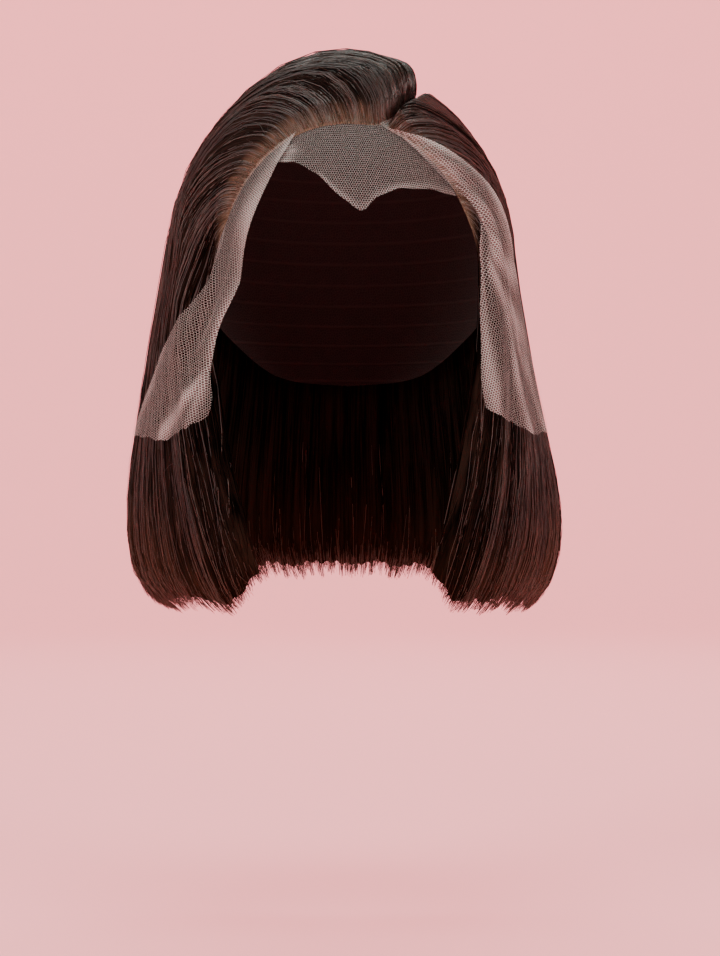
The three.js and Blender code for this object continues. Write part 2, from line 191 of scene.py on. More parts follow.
def direction(turns, falls):  # degrees round by the wearer's right, degrees below the crown
    a, f = np.radians(turns), np.radians(falls)
    return np.stack([-np.sin(a) * np.sin(f), -np.cos(a) * np.sin(f), np.cos(f) + 0 * a], -1)


def headPoint(way, out):
    out = np.asarray(out)[..., None]
    reach = np.array([head["halfWidth"], head["halfDepth"], head["rise"]]) + out
    return reach * way - np.array([0, 0, head["rise"]])


def loftPoint(way, loft):
    x, y, z = way[..., 0], way[..., 1], way[..., 2]
    trim = 1 - hair["outerTrim"] * 4 * z * z * (1 - z * z) * (0.5 - 0.5 * x)
    wide = head["halfWidth"] * np.where(x < 0, hangs["right"][0], hangs["left"][0])
    deep = head["halfDepth"] * np.where(y < 0, hangs["ahead"][0], hangs["behind"][0])
    return np.stack([x * wide * trim, y * deep * trim, z * (head["rise"] + loft) * trim - head["rise"]], -1)


def hangPoints(turns, levels):
    x, y = -np.sin(np.radians(turns)), -np.cos(np.radians(turns))
    share = lambda column: readRows(hangs, "level", levels, column)
    bySide = lambda side, a, b: np.where(side < 0, share(a), share(b))
    wide, inWide = bySide(x, "right", "left"), bySide(x, "inRight", "inLeft")
    deep, inDeep = bySide(y, "ahead", "behind"), bySide(y, "inAhead", "inBehind")
    shorter = hair["backLift"] * np.maximum(0, y) * ease(levels - 1)
    z = -head["rise"] - hair["hang"] * (share("drop") - shorter)
    tipLift = hair["depth"] / 3 * ease((levels - hair["curlLevel"]) / hair["curlSpan"])
    clear = wall["cap"] + wall["hairClear"]
    outer = np.stack([x * head["halfWidth"] * wide, y * head["halfDepth"] * deep, z], -1)
    inWide, inDeep = head["halfWidth"] * inWide + clear, head["halfDepth"] * inDeep + clear
    inner = np.stack([x * inWide, y * inDeep, z + tipLift], -1)
    return outer, inner


def rootWay(across, ahead):
    up = np.sqrt(np.maximum(0, 1 - across ** 2 - ahead ** 2))
    return unit(np.stack([across, -ahead, up], -1))


def strandLength(rounds):
    root, lift, shoulder, leave = strandWays(rounds)
    angle = lambda a, b: np.arccos(np.clip((a * b).sum(-1), -1, 1))
    over = angle(root, lift) + angle(lift, shoulder) + angle(shoulder, leave)
    return over * (head["halfWidth"] + hair["depth"] / 2)


def strandWays(rounds):
    g = lambda column: readRows(guides, "round", rounds, column)
    clear = direction(rounds, 90) * (hair["partHalf"] / head["halfWidth"])
    root = unit(rootWay(g("across"), g("ahead")) + clear)
    lift = unit(rootWay(g("liftAcross"), g("liftAhead")) + clear)
    return root, lift, direction(rounds, g("shoulder")), direction(rounds, 90 + 0 * rounds)


# outer and inner form of the hair at lengths along strands, and how far it has risen from its roots
def hairForms(rounds, lengths):
    g = lambda column: readRows(guides, "round", rounds, column)
    over = strandLength(rounds)
    root, lift, shoulder, leave = strandWays(rounds)
    t = np.minimum(lengths / over, 1)[..., None]
    r = 1 - t
    way = unit(root * r ** 3 + 3 * lift * r * r * t + 3 * shoulder * r * t * t + leave * t ** 3)
    domeOuter = loftPoint(way, hair["crownLoft"] * g("loft"))
    domeInner = headPoint(way, wall["cap"] + wall["hairClear"] + 0 * rounds)
    level = 1 + np.maximum(lengths - over, 0) / hair["hang"]
    hangOuter, hangInner = hangPoints(rounds + ease(level - 1) * (g("tipRound") - rounds), level)
    hanging = (lengths >= over)[..., None]
    outer, inner = np.where(hanging, hangOuter, domeOuter), np.where(hanging, hangInner, domeInner)
    up = 1 - np.clip(lengths / (hair["hairlineRise"] * g("rise")), 0, 1)
    risen = np.sqrt(1 - up * up) * (1 - g("sparse")) + ease(1 - up) * g("sparse")
    first = hair["rootDepth"] / np.linalg.norm(outer - inner, axis=-1)
    return outer, inner, first + (1 - first) * risen


def onLock(rounds, skew=0.0):
    lock = 2 * np.pi * (rounds / hair["lockTurn"] + skew)
    return 0.5 + 0.28 * np.cos(lock) + 0.22 * np.cos(lock / 1.618 + skew)


def newMesh(name, points, faces, kinds=None, layers=None):
    faces = np.asarray(faces, dtype=np.int32)
    mesh = bpy.data.meshes.new(name)
    mesh.vertices.add(len(points))
    mesh.vertices.foreach_set("co", np.ascontiguousarray(points, dtype=np.float32).ravel())
    sides = faces.shape[1]
    real = np.ones(faces.shape, bool)
    if sides == 4:
        real[:, 3] = faces[:, 3] >= 0  # a triangle has -1 for its fourth corner
    corners = faces[real]
    counts = real.sum(1)
    mesh.loops.add(len(corners))
    mesh.loops.foreach_set("vertex_index", corners)
    mesh.polygons.add(len(faces))
    mesh.polygons.foreach_set("loop_start", np.concatenate([[0], np.cumsum(counts)[:-1]]).astype(np.int32))
    mesh.polygons.foreach_set("use_smooth", np.ones(len(faces), bool))
    if kinds is not None:
        mesh.polygons.foreach_set("material_index", kinds)
    for mapName, places in (layers or {}).items():
        layer = mesh.uv_layers.new(name=mapName)
        layer.data.foreach_set("uv", np.ascontiguousarray(places[corners], dtype=np.float32).ravel())
    mesh.update()
    mesh.validate()
    piece = bpy.data.objects.new(name, mesh)
    bpy.context.collection.objects.link(piece)
    return piece


class MeshParts:  # gathers points and faces of many small meshes into one
    def __init__(self):
        self.points, self.faces, self.kinds, self.layers, self.count = [], [], [], {}, 0

    def add(self, points, faces, kind=0, **layers):  # a layer holds two numbers for each point
        faces = np.asarray(faces)
        self.kinds.append(np.full(len(faces), kind, dtype=np.int32))
        self.faces.append(np.where(faces >= 0, faces + self.count, -1))
        self.points.append(points.reshape(-1, 3))
        for key, places in layers.items():
            self.layers.setdefault(key, []).append(places.reshape(-1, 2))
        self.count += len(self.points[-1])

    def piece(self, name):
        gathered = [np.concatenate(x) for x in (self.points, self.faces, self.kinds)]
        return newMesh(name, *gathered, {key: np.concatenate(x) for key, x in self.layers.items()})


def gridFaces(rows, columns, flip=False):
    j, i = np.meshgrid(np.arange(rows - 1), np.arange(columns - 1), indexing="ij")
    a = (j * columns + i).ravel()
    quads = np.stack([a, a + columns, a + columns + 1, a + 1], -1)
    return quads[:, ::-1] if flip else quads


# tubes of three sides that taper to their tips, along many paths at once: paths is strands x points x 3
def tubes(paths, outward, radii):
    n, m, _ = paths.shape
    along = unit(np.gradient(paths, axis=1))
    side = unit(np.cross(along, outward))
    up = np.cross(side, along)
    ring = []
    for angle in (90, 210, 330):
        c, s = math.cos(math.radians(angle)), math.sin(math.radians(angle))
        ring.append(paths + (side * c + up * s) * radii[..., None])
    points = np.stack(ring, 2).reshape(-1, 3)  # strand, point, corner
    base = (np.arange(n)[:, None] * m + np.arange(m - 1)[None, :]) * 3
    faces = []
    for k in range(3):
        l = (k + 1) % 3
        faces.append(np.stack([base + k, base + l, base + 3 + l, base + 3 + k], -1).reshape(-1, 4))
    ends = np.arange(n) * m * 3
    none = np.full(n, -1)
    faces.append(np.stack([ends + 2, ends + 1, ends, none], -1))
    faces.append(np.stack([ends + 3 * m - 3, ends + 3 * m - 2, ends + 3 * m - 1, none], -1))
    owners = np.concatenate([np.repeat(np.arange(n), m - 1)] * 3 + [np.arange(n)] * 2)
    return points, np.concatenate(faces), owners


class Value:  # a socket whose Python operators add Math nodes
    def __init__(self, nodes, socket):
        self.nodes, self.socket = nodes, socket

    def math(self, operation, *others, first=None):
        inputs = [self if first is None else first, *others]
        node = self.nodes.add("ShaderNodeMath", {"operation": operation}, dict(enumerate(inputs)))
        return node["Value"]

    def __add__(self, other):
        return self.math("ADD", other)

    def __sub__(self, other):
        return self.math("SUBTRACT", other)

    def __mul__(self, other):
        return self.math("MULTIPLY", other)

    def __truediv__(self, other):
        return self.math("DIVIDE", other)

    def __rsub__(self, other):
        return self.math("SUBTRACT", self, first=other)

    __radd__, __rmul__ = __add__, __mul__

    def smooth(self, low, high):
        node = self.nodes.add("ShaderNodeMapRange", {"interpolation_type": "SMOOTHSTEP"},
                              {"Value": self, "From Min": low, "From Max": high})
        return node["Result"]


class Nodes:  # one material's nodes
    def __init__(self, name):
        self.material = bpy.data.materials.new(name)
        self.material.use_nodes = True
        self.tree = self.material.node_tree
        self.shader = next(n for n in self.tree.nodes if n.type == "BSDF_PRINCIPLED")
        self.output = next(n for n in self.tree.nodes if n.type == "OUTPUT_MATERIAL")

    def add(self, kind, settings=None, inputs=None):
        node = self.tree.nodes.new(kind)
        for key, value in (settings or {}).items():
            setattr(node, key, value)
        for key, value in (inputs or {}).items():
            self.put(node.inputs[key], value)
        return Outputs(self, node)

    def put(self, socket, value):
        if isinstance(value, Value):
            self.tree.links.new(value.socket, socket)
        elif isinstance(value, (tuple, list)) and len(value) == 3 and socket.type == "RGBA":
            socket.default_value = (*value, 1)
        else:
            socket.default_value = value

    def set(self, **values):  # the shader's own sockets, their names without spaces
        names = {socket.name.replace(" ", ""): socket for socket in self.shader.inputs}
        for key, value in values.items():
            self.put(names[key], value)

    def mix(self, factor, a, b):
        node = self.add("ShaderNodeMix", {"data_type": "RGBA", "clamp_factor": True})
        ins = {s.identifier: s for s in node.node.inputs}
        self.put(ins["Factor_Float"], factor)
        self.put(ins["A_Color"], a)
        self.put(ins["B_Color"], b)
        return Value(self, next(s for s in node.node.outputs if s.identifier == "Result_Color"))

    def vector(self, x, y, z=0.0):
        return self.add("ShaderNodeCombineXYZ", None, {"X": x, "Y": y, "Z": z})["Vector"]

    def noise(self, vector, scale=1.0, detail=2.0, roughness=0.5):
        inputs = {"Vector": vector, "Scale": scale, "Detail": detail, "Roughness": roughness}
        return self.add("ShaderNodeTexNoise", {"noise_dimensions": "2D"}, inputs)["Fac"]

    def bump(self, height, strength, distance):
        inputs = {"Height": height, "Strength": strength, "Distance": distance}
        self.set(Normal=self.add("ShaderNodeBump", None, inputs)["Normal"])


class Outputs:
    def __init__(self, nodes, node):
        self.nodes, self.node = nodes, node

    def __getitem__(self, name):
        return Value(self.nodes, self.node.outputs[name])


def shade(colour, share):
    return tuple(c * share for c in colour)


# a grain is how many a metre round the hair, how many from root to tip, and its detail
# a band is where a change starts and ends: the root's, tip's and thin one as shares of the way to the tip
hairFinish = {
    "fine": (3200.0, 9.0, 2.0), "streak": (700.0, 5.0, 3.0), "lock": (130.0, 2.6, 3.0),
    "toneBand": (0.48, 0.7), "tipBand": (0.74, 1.06), "rootBand": (0.0, 0.068), "thinBand": (0.008, 0.04),
    "rootShare": 0.8, "roughen": 0.3, "bumpStrength": 0.55, "bumpHeight": 0.0009,
    "root": (0.18, 0.13, 0.082), "deep": (0.0028, 0.0019, 0.0016), "warm": (0.033, 0.0222, 0.0155),
    "tip": (0.08, 0.044, 0.021), "glow": (0.92, 0.94, 0.89),
    # each copy of the hair scales its colours by its painted light share: the under shell darker as painted
    # shade between the strands, the glossy strands lighter, the inside darkest as painted shade
    "under": {"roughness": 0.55, "specular": 0.04, "bright": 0.56, "tipShare": 0.6},
    "strands": {"roughness": 0.22, "specular": 0.7, "bright": 1.2, "tipShare": 0.6},
    # the inside copy: hair inside the wig and at the edges beside the face, darkened as painted shade
    "inside": {"roughness": 0.6, "specular": 0.0, "bright": 0.35, "tipShare": 0.3},
}


def hairMaterial(kind):
    finish = hairFinish[kind]
    nodes = Nodes("combedHair_" + kind)
    uv = nodes.add("ShaderNodeUVMap", {"uv_map": "combed"})["UV"]
    split = nodes.add("ShaderNodeSeparateXYZ", None, {"Vector": uv})
    u, v = split["X"], split["Y"]  # metres round the hair, share of the way from root to tip

    def grain(name):
        across, along, detail = hairFinish[name]
        return nodes.noise(nodes.vector(u * across, v * along), detail=detail)

    fine, streak, lock = grain("fine"), grain("streak"), grain("lock")
    tone = (fine * 0.25 + streak * 0.45 + lock * 0.45).smooth(*hairFinish["toneBand"])
    # painted light and shade: the copy's deep, warm and tip colours scaled by its share
    deep, warm, tip = [shade(hairFinish[name], finish["bright"]) for name in ("deep", "warm", "tip")]
    body = nodes.mix(tone, deep, warm)
    tipward = (v + (streak - 0.5) * 0.22).smooth(*hairFinish["tipBand"])
    body = nodes.mix(tipward * finish["tipShare"], body, tip)
    rootward = 1 - (v + (streak - 0.5) * 0.06 + (fine - 0.5) * 0.03).smooth(*hairFinish["rootBand"])
    body = nodes.mix(rootward * hairFinish["rootShare"], body, hairFinish["root"])
    nodes.set(BaseColor=body, Roughness=finish["roughness"] + (1 - tone) * hairFinish["roughen"])
    nodes.set(SpecularIORLevel=finish["specular"], SpecularTint=hairFinish["glow"])
    if kind == "under":  # thin at the hairline
        uneven = v + (fine - 0.5) * 0.05 + (streak - 0.5) * 0.04
        nodes.set(Alpha=uneven.smooth(*hairFinish["thinBand"]))
    nodes.bump(fine * 0.5 + streak * 0.8, hairFinish["bumpStrength"], hairFinish["bumpHeight"])
    return nodes.material


laceFinish = {
    "thread": (0.43, 0.48, 0.43), "shadeShare": 0.82, "pitch": 0.0013, "bumpHeight": 0.0002,
    "strand": 0.06, "fuzz": 0.02, "foldStrand": 0.12, "foldFuzz": 0.28,
    "wobbleScale": 160.0, "grainScale": 900.0,
}


def laceMaterial():
    nodes = Nodes("uncutLace")
    folds = nodes.add("ShaderNodeUVMap", {"uv_map": "folds"})["UV"]
    fold = nodes.add("ShaderNodeSeparateXYZ", None, {"Vector": folds})["X"]
    uv = nodes.add("ShaderNodeUVMap", {"uv_map": "combed"})["UV"]
    split = nodes.add("ShaderNodeSeparateXYZ", None, {"Vector": uv})
    tall = math.sqrt(3)
    wobble = nodes.noise(uv, scale=laceFinish["wobbleScale"], detail=1.0) - 0.5
    x = split["X"] / laceFinish["pitch"] + wobble * 0.3
    y = split["Y"] / laceFinish["pitch"] + wobble * 0.25

    def cell(offset):  # place inside the nearest hexagon of one of two lattices, folded to one corner
        cx = (x + offset).math("FLOORED_MODULO", 1.0) - 0.5
        cy = (y + offset * tall).math("FLOORED_MODULO", tall) - tall / 2
        return cx, cy, cx * cx + cy * cy

    ax, ay, aFar = cell(0.0)
    bx, by, bFar = cell(0.5)
    near = aFar.math("LESS_THAN", bFar)
    hx = (ax * near + bx * (1 - near)).math("ABSOLUTE")
    hy = (ay * near + by * (1 - near)).math("ABSOLUTE")
    edge = 0.5 - (hx * 0.5 + hy * (tall / 2)).math("MAXIMUM", hx)  # 0 on a thread, 0.5 in a hole
    width = fold * laceFinish["foldStrand"] + laceFinish["strand"]
    thread = 1 - edge.smooth(width * 0.35, width * 0.8)
    tone = nodes.noise(uv, scale=laceFinish["grainScale"], detail=2.0)
    dark = shade(laceFinish["thread"], laceFinish["shadeShare"])
    nodes.set(BaseColor=nodes.mix(tone, dark, laceFinish["thread"]))
    nodes.set(Roughness=0.75, SpecularIORLevel=0.2, SheenWeight=0.1, SheenRoughness=0.5)
    fuzz = fold * laceFinish["foldFuzz"] + laceFinish["fuzz"]
    nodes.set(Alpha=thread * (1 - fuzz) + fuzz)
    nodes.bump(thread, 0.15, laceFinish["bumpHeight"])
    return nodes.material


capFinish = {
    "net": (0.016, 0.012, 0.011), "band": (0.03, 0.022, 0.019),
    "cells": 620.0, "rowStep": 0.012, "bumpHeight": 0.0006,
}


def capMaterial():
    nodes = Nodes("capNet")
    uv = nodes.add("ShaderNodeUVMap", {"uv_map": "combed"})["UV"]
    split = nodes.add("ShaderNodeSeparateXYZ", None, {"Vector": uv})
    weave = nodes.add("ShaderNodeTexVoronoi", {"feature": "DISTANCE_TO_EDGE", "voronoi_dimensions": "2D"},
                      {"Vector": uv, "Scale": capFinish["cells"]})["Distance"].smooth(0.02, 0.2)
    seam = (split["Y"] / capFinish["rowStep"]).math("PINGPONG", 0.5).smooth(0.0, 0.12)  # rows of sewn hair
    tone = nodes.mix(weave, capFinish["band"], capFinish["net"])
    nodes.set(BaseColor=nodes.mix(seam, capFinish["band"], tone))
    nodes.set(Roughness=0.85, SpecularIORLevel=0.2)
    nodes.bump((1 - weave) * 0.4 + (1 - seam), 0.6, capFinish["bumpHeight"])
    return nodes.material


# the third of these, the inside finish, is painted shade
hairMats = [hairMaterial(kind) for kind in ("under", "strands", "inside")]
onUnder, onStrands, onPaintedShade = range(3)  # their places on each hair piece
laceMat, capMat = laceMaterial(), capMaterial()
print("materials made")


def dress(piece, materials, node):
    for material in materials:
        piece.data.materials.append(material)
    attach(piece, "root")
    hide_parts(node)
    return piece


hairPieces = {
    "combed_front_right": {
        "node": "hair_front_right", "seed": 11, "span": (56, 97), "openFrom": True,
        "hairline": (56, 97), "crest": (84, 97),
    },
    "combed_sweep_right": {"node": "hair_sweep_right", "seed": 12, "span": (97, 138), "crest": (97, 112)},
    "combed_back": {"node": "hair_back", "seed": 13, "span": (138, 222), "thinned": 0.7},
    "combed_side_left": {
        "node": "hair_side_left", "seed": 14, "span": (222, 272),
        "hairline": (258, 272), "crest": (244, 272),
    },
    "combed_front_left": {
        "node": "hair_front_left", "seed": 15, "span": (272, 304), "openTo": True,
        "hairline": (272, 304),
    },
}
# how many strands for each degree round the head, points along one, and where they start, end and lie
strandKinds = {
    "long": {
        "count": 9.5, "points": 21, "start": (0.0, 0.02), "end": (0.97, 1.0),
        "depth": (0.95, 1.02), "spread": 0.35,
    },
    # darker, less glossy strands in the under finish: painted shade between the glossy strands
    "dull": {
        "count": 5.5, "points": 19, "start": (0.0, 0.02), "end": (0.96, 1.0),
        "depth": (0.95, 1.01), "spread": 0.5, "finish": onUnder,
    },
    "tips": {
        "count": 17.0, "points": 7, "start": (0.62, 0.8), "end": (0.972, 1.0),
        "depth": (0.0, 1.0), "spread": 0.9, "inLocks": 0.1, "gather": 0.05,
    },
    # strands on the inner side of the hair, in the inside finish: painted shade
    "inside": {
        "count": 4.0, "points": 9, "start": (0.42, 0.55), "end": (0.95, 1.0),
        "depth": (-0.03, 0.12), "spread": 0.7, "finish": onPaintedShade,
    },
    "loose": {
        "count": 0.9, "points": 17, "start": (0.0, 0.3), "end": (0.7, 0.99),
        "depth": (0.99, 1.05), "spread": 3.0, "radius": 0.0001, "gather": 0.0,
    },
    "crest": {
        "count": 4.0, "points": 13, "start": (0.0, 0.01), "end": (0.16, 0.4),
        "depth": (0.96, 1.005), "spread": 0.8, "radius": 0.00013, "gather": 0.0,
    },
    "baby": {
        "count": 34.0, "points": 6, "start": (0.0, 0.02), "end": (0.04, 0.12),
        "depth": (0.2, 1.05), "spread": 0.2, "pale": 0.0, "radius": 0.00008, "gather": 0.0, "lean": 1.7,
    },
}
tuft = {
    "radius": 0.00018, "gather": 0.1, "inLocks": 0.55, "inLock": 0.3, "lockLift": 0.028, "lockTone": 0.02,
    "edge": 7.0, "edgeShade": 0.85, "cornerCut": 0.016, "uneven": 0.007, "waver": 0.012, "pale": 0.014,
    "lockTurn": 1.6, "metresADegree": 0.0019, "bareStart": 0.06, "margin": 0.02, "rootMargin": 0.1,
    "thickness": (0.7, 1.25), "toneEach": 0.003, "gatherFrom": 0.25,
    "sinkShare": 0.006, "sinkSparse": 0.05, "sunk": 0.4, "sunkSparse": 0.8,
}
shell = {
    "top": 0.97, "middle": 0.55, "tip": 0.972, "closing": 0.05, "margin": 0.05, "columnTurn": 0.5,
    "turnedIn": 0.3, "marks": (0.004, 0.1, 0.93), "rows": (13, 54, 6),
}
# more points at the root, over the crown and at the tip: even places along a strand, and where they move to
strandPoints = (0.0, 0.22, 0.64, 0.78, 1.0), (0.0, 0.065, 0.4, 0.78, 1.0)


# how near a strand is to a free edge beside the face, 1 on the edge and 0 away from it
def toEdge(rounds, part):
    lo, hi = part["span"]
    if "openFrom" in part:
        gap = rounds - lo
    elif "openTo" in part:
        gap = hi - rounds
    else:
        gap = tuft["edge"] + 0 * rounds
    return 1 - np.clip(gap / tuft["edge"], 0, 1)


def endOfStrand(rounds):
    uneven = np.sin(rounds * 1.9) + np.sin(rounds * 0.83 + 2) + np.sin(rounds * 0.37 + 1)  # no even step
    cut = hair["tipCut"] * (0.2 + 0.6 * onLock(rounds, hair["tipSkew"]))
    return strandLength(rounds) + hair["hang"] * (1 - cut - tuft["uneven"] * uneven)


# points on or in the hair: rounds, share of the strand's length and depth from 0 inside to 1 outside
def inHair(rounds, shares, depths, part):
    near = toEdge(rounds, part)
    lengths = shares * (endOfStrand(rounds) - tuft["cornerCut"] * near ** 2)
    outer, inner, risen = hairForms(rounds, lengths)
    deep = np.linalg.norm(outer - inner, axis=-1)
    ridge = hair["lockRidge"] * (1 - onLock(rounds)) * np.minimum(1, shares * 6) / deep
    full = risen * (1 - ridge) * np.sqrt(1 - near ** 2)
    return inner + (outer - inner) * (full * depths)[..., None], unit(outer - inner)


def inset(share):  # clear of the edges of the flat map
    return share * 0.98 + 0.01


def combedUv(rounds, shares, part):
    lo, hi = part["span"]
    flat = np.stack([inset((rounds - lo) / (hi - lo)), inset(np.clip(shares, 0, 1))], -1).reshape(-1, 2)
    sparse = readRows(guides, "round", rounds, "sparse")
    bare = tuft["bareStart"] * (1 - sparse)  # dense from the root at the part
    return flat, np.stack([rounds * tuft["metresADegree"], shares + bare], -1).reshape(-1, 2)


# depths near the roots, which come out of the lace or the cap, below the inner form of the hair
def rooted(rounds, shares, depths):
    sparse = readRows(guides, "round", rounds, "sparse")
    sunk = 1 - ease(shares / (tuft["sinkShare"] + tuft["sinkSparse"] * sparse))
    return depths * (1 - sunk) - (tuft["sunk"] + tuft["sunkSparse"] * sparse) * sunk


def addShell(parts, part):
    lo, hi = part["span"]
    columns = int((hi - lo) / shell["columnTurn"] * part.get("thinned", 1)) + 1
    marks = (*shell["marks"], shell["tip"])
    runs = [np.linspace(a, b, n)[: n - 1] for a, b, n in zip(marks, marks[1:], shell["rows"])]
    shares = np.append(np.concatenate(runs), shell["tip"])
    rounds = np.linspace(lo + shell["margin"], hi - shell["margin"], columns)
    r, s = np.meshgrid(rounds, shares)
    closing = np.sqrt(np.clip((shell["tip"] - s) / shell["closing"], 0, 1))
    # shell faces near a free edge beside the face take the inside finish: painted shade
    turnedIn = np.tile(toEdge(rounds[1:], part) > shell["turnedIn"], len(shares) - 1)
    flat, combed = combedUv(r, s, part)
    # the inner shell takes the inside finish: painted shade
    for depth, kind in ((shell["top"], onUnder), (0.0, onPaintedShade)):
        points, _ = inHair(r, s, rooted(r, s, shell["middle"] + (depth - shell["middle"]) * closing), part)
        faces = gridFaces(len(shares), columns, flip=kind == onPaintedShade)
        parts.add(points, faces, np.where(turnedIn, onPaintedShade, kind), OFBake=flat, combed=combed)


def wander(rng, n, shares, size):  # smooth drift of each strand along its way
    phase = rng.uniform(0, 2 * np.pi, (n, 3))
    pace = rng.uniform(0.6, 1.6, (n, 3)) * np.array([1.0, 2.2, 4.5])
    weight = np.array([1.0, 0.5, 0.22])
    waves = np.sin(phase[:, None] + 2 * np.pi * pace[:, None] * shares[..., None]) * weight
    return size * waves.sum(-1)


def addStrands(parts, part, rng, kind, span):
    lo, hi = span
    n = int((hi - lo) * kind["count"])
    locks = max(1, round((hi - lo) / tuft["lockTurn"]))
    lock = rng.integers(0, locks, n)
    place = rng.uniform(lo, hi, locks)
    lift = rng.normal(0, tuft["lockLift"], locks)
    tone = rng.uniform(-tuft["lockTone"], tuft["lockTone"], locks)
    first = place[lock] + rng.normal(0, tuft["inLock"], n)
    gathered = rng.uniform(0, 1, n) < kind.get("inLocks", tuft["inLocks"])
    first = np.where(gathered, first, rng.uniform(lo, hi, n))
    first = np.clip(first, lo + tuft["rootMargin"], hi - tuft["rootMargin"])
    even = np.linspace(0, 1, kind["points"])[None, :]
    t = np.interp(even, *strandPoints)
    begin = rng.uniform(*kind["start"], n)[:, None]
    stop = rng.uniform(*kind["end"], n)[:, None]
    shares = begin + (stop - begin) * t
    centre = np.round(first / hair["lockTurn"]) * hair["lockTurn"]
    pull = kind.get("gather", tuft["gather"]) * ease((shares - tuft["gatherFrom"]) / (1 - tuft["gatherFrom"]))
    drift = wander(rng, n, shares, kind["spread"]) * np.minimum(1, shares * 4)
    drift = drift + rng.normal(0, 1, n)[:, None] * kind.get("lean", 0.0) * t ** 1.5
    rounds = first[:, None] + (centre - first)[:, None] * pull + drift
    rounds = np.clip(rounds, part["span"][0] + tuft["margin"], part["span"][1] - tuft["margin"])
    depths = rng.uniform(*kind["depth"], n) + lift[lock] * (kind["depth"][0] > 0.5)  # only outer locks lift
    depths = rooted(rounds, shares, depths[:, None] + wander(rng, n, shares, tuft["waver"]))
    paths, outward = inHair(rounds, shares, depths, part)
    tapered = kind.get("radius", tuft["radius"]) * (1 - t ** 3 * 0.5)
    thin = tapered * rng.uniform(*tuft["thickness"], n)[:, None]
    mesh, faces, owners = tubes(paths, outward, thin + 0 * shares)
    # painted shade: strands near a free edge take the dark inside finish at random, more often nearer the
    # edge
    turnedIn = tuft["edgeShade"] * ease(1.5 * toEdge(first, part))  # towards the neck, away from the light
    finish = np.where(rng.uniform(0, 1, n) < turnedIn, onPaintedShade, kind.get("finish", onStrands))[owners]
    flat, combed = combedUv(rounds, shares, part)
    toneEach = tone[lock] + rng.uniform(-tuft["toneEach"], tuft["toneEach"], n)
    combed[:, 0] += np.repeat(toneEach, kind["points"])
    combed[:, 1] += kind.get("pale", tuft["pale"]) * (1 - t.repeat(n, 0).ravel())
    flat, combed = np.repeat(flat, 3, 0), np.repeat(combed, 3, 0)
    parts.add(mesh, faces, finish, OFBake=flat, combed=combed)


def buildHair(name, part):
    rng = np.random.default_rng(part["seed"])
    parts = MeshParts()
    addShell(parts, part)
    for kindName, kind in strandKinds.items():
        kind = {**kind, "count": kind["count"] * part.get("thinned", 1)}
        span = part.get({"baby": "hairline", "crest": "crest"}.get(kindName, "span"))
        if span:
            addStrands(parts, part, rng, kind, span)
    piece = dress(parts.piece(name), hairMats, part["node"])
    print(name, sum(len(face.vertices) - 2 for face in piece.data.polygons), "triangles")


for name, part in hairPieces.items():
    buildHair(name, part)
print("hair combed")


capShape = {"columns": 180, "rows": 60, "wall": 0.0011, "hem": 0.025, "weaveWide": 0.55, "weaveTall": 0.09}


def buildCap():
    parts = MeshParts()
    turns = np.linspace(0, 360, capShape["columns"] + 1)
    shares = np.linspace(0.0, 1, capShape["rows"] + 1)
    t, s = np.meshgrid(turns, shares)
    falls = readRows(capEdge, "turn", np.minimum(t, 360 - t), "fall") * s
    way = direction(t, np.maximum(falls, 0.05))
    hem = np.sqrt(np.clip(1 - ((s - (1 - capShape["hem"])) / capShape["hem"]).clip(0, 1) ** 2, 0, 1))
    for out, flip in ((1, False), (-1, True)):
        lift = wall["cap"] / 2 + out * capShape["wall"] / 2 * hem
        flat = np.stack([t / 720 + (0.5 if flip else 0.0), s], -1)
        combed = np.stack([t / 360 * capShape["weaveWide"], np.radians(falls) * capShape["weaveTall"]], -1)
        faces = gridFaces(len(shares), len(turns), flip)
        parts.add(headPoint(way, lift), faces, OFBake=flat, combed=combed)
    dress(parts.piece("net_cap"), (capMat,), "crown_cap")


buildCap()
print("cap made")


laceParts = [
    {
        "name": "right", "lines": rightLappet, "side": -1, "columns": 54, "pleats": 2, "settle": 1,
        "folded": False, "spill": (0, 0), "netTurn": 0.5,
    },
    {
        "name": "forehead", "lines": forehead, "side": 1, "columns": 96, "pleats": 0, "settle": 0,
        "folded": False, "spill": (0.08, 0.08), "netTurn": 0.05,
    },
    {
        "name": "left", "lines": leftLappet, "side": 1, "columns": 60, "pleats": 3, "settle": 0.8,
        "folded": True, "spill": (0, 0), "netTurn": -0.3,
    },
]
lace = {
    "rows": 120, "tuckRows": 14, "capToLace": 0.6, "off": 0.0005, "float": 0.0009, "pleat": 0.0018,
    "foldLift": 0.0009, "under": 0.0004, "drapeTurn": 12, "spillTurn": 60, "netRadius": 0.095,
    "rimFrom": 0.38, "rimWide": 0.12, "rimWave": 0.55, "cutWave": 0.005,
}


def lacePoint(turns, levels, onHair, out):
    rounds = 360 - turns
    way = direction(rounds, np.minimum(levels, 1) * 90)
    bare = headPoint(way, out)
    below = np.maximum(levels, 1)
    bare[..., 2] -= np.where(levels > 1, hair["hang"] * readRows(hangs, "level", below, "drop"), 0)
    dome = loftPoint(way, hair["crownLoft"] / 2)
    over = np.where((levels > 1)[..., None], hangPoints(rounds, below)[0], dome)
    off = unit(way * np.array([1.0, 1.0, 0.0]))
    over = over + off * (lace["float"] + out)[..., None]
    return bare + (over - bare) * onHair[..., None]


# values at places along the lace, on the same curve as in readRows, through its stations 0, 1, 2 and 3
def alongStations(values, along):
    values = np.stack(values)
    at = lambda k: np.take_along_axis(values, np.clip(k, 0, 3)[None], 0)[0]
    i = np.clip(np.ceil(along).astype(int) - 1, 0, 2)
    t = np.clip(along - i, 0, 1)
    start = (at(i + 1) - at(i - 1)) / (i + 1 - np.maximum(i - 1, 0))
    end = (at(i + 2) - at(i)) / (np.minimum(i + 2, 3) - i)
    return curve(at(i), at(i + 1), start, end, t)


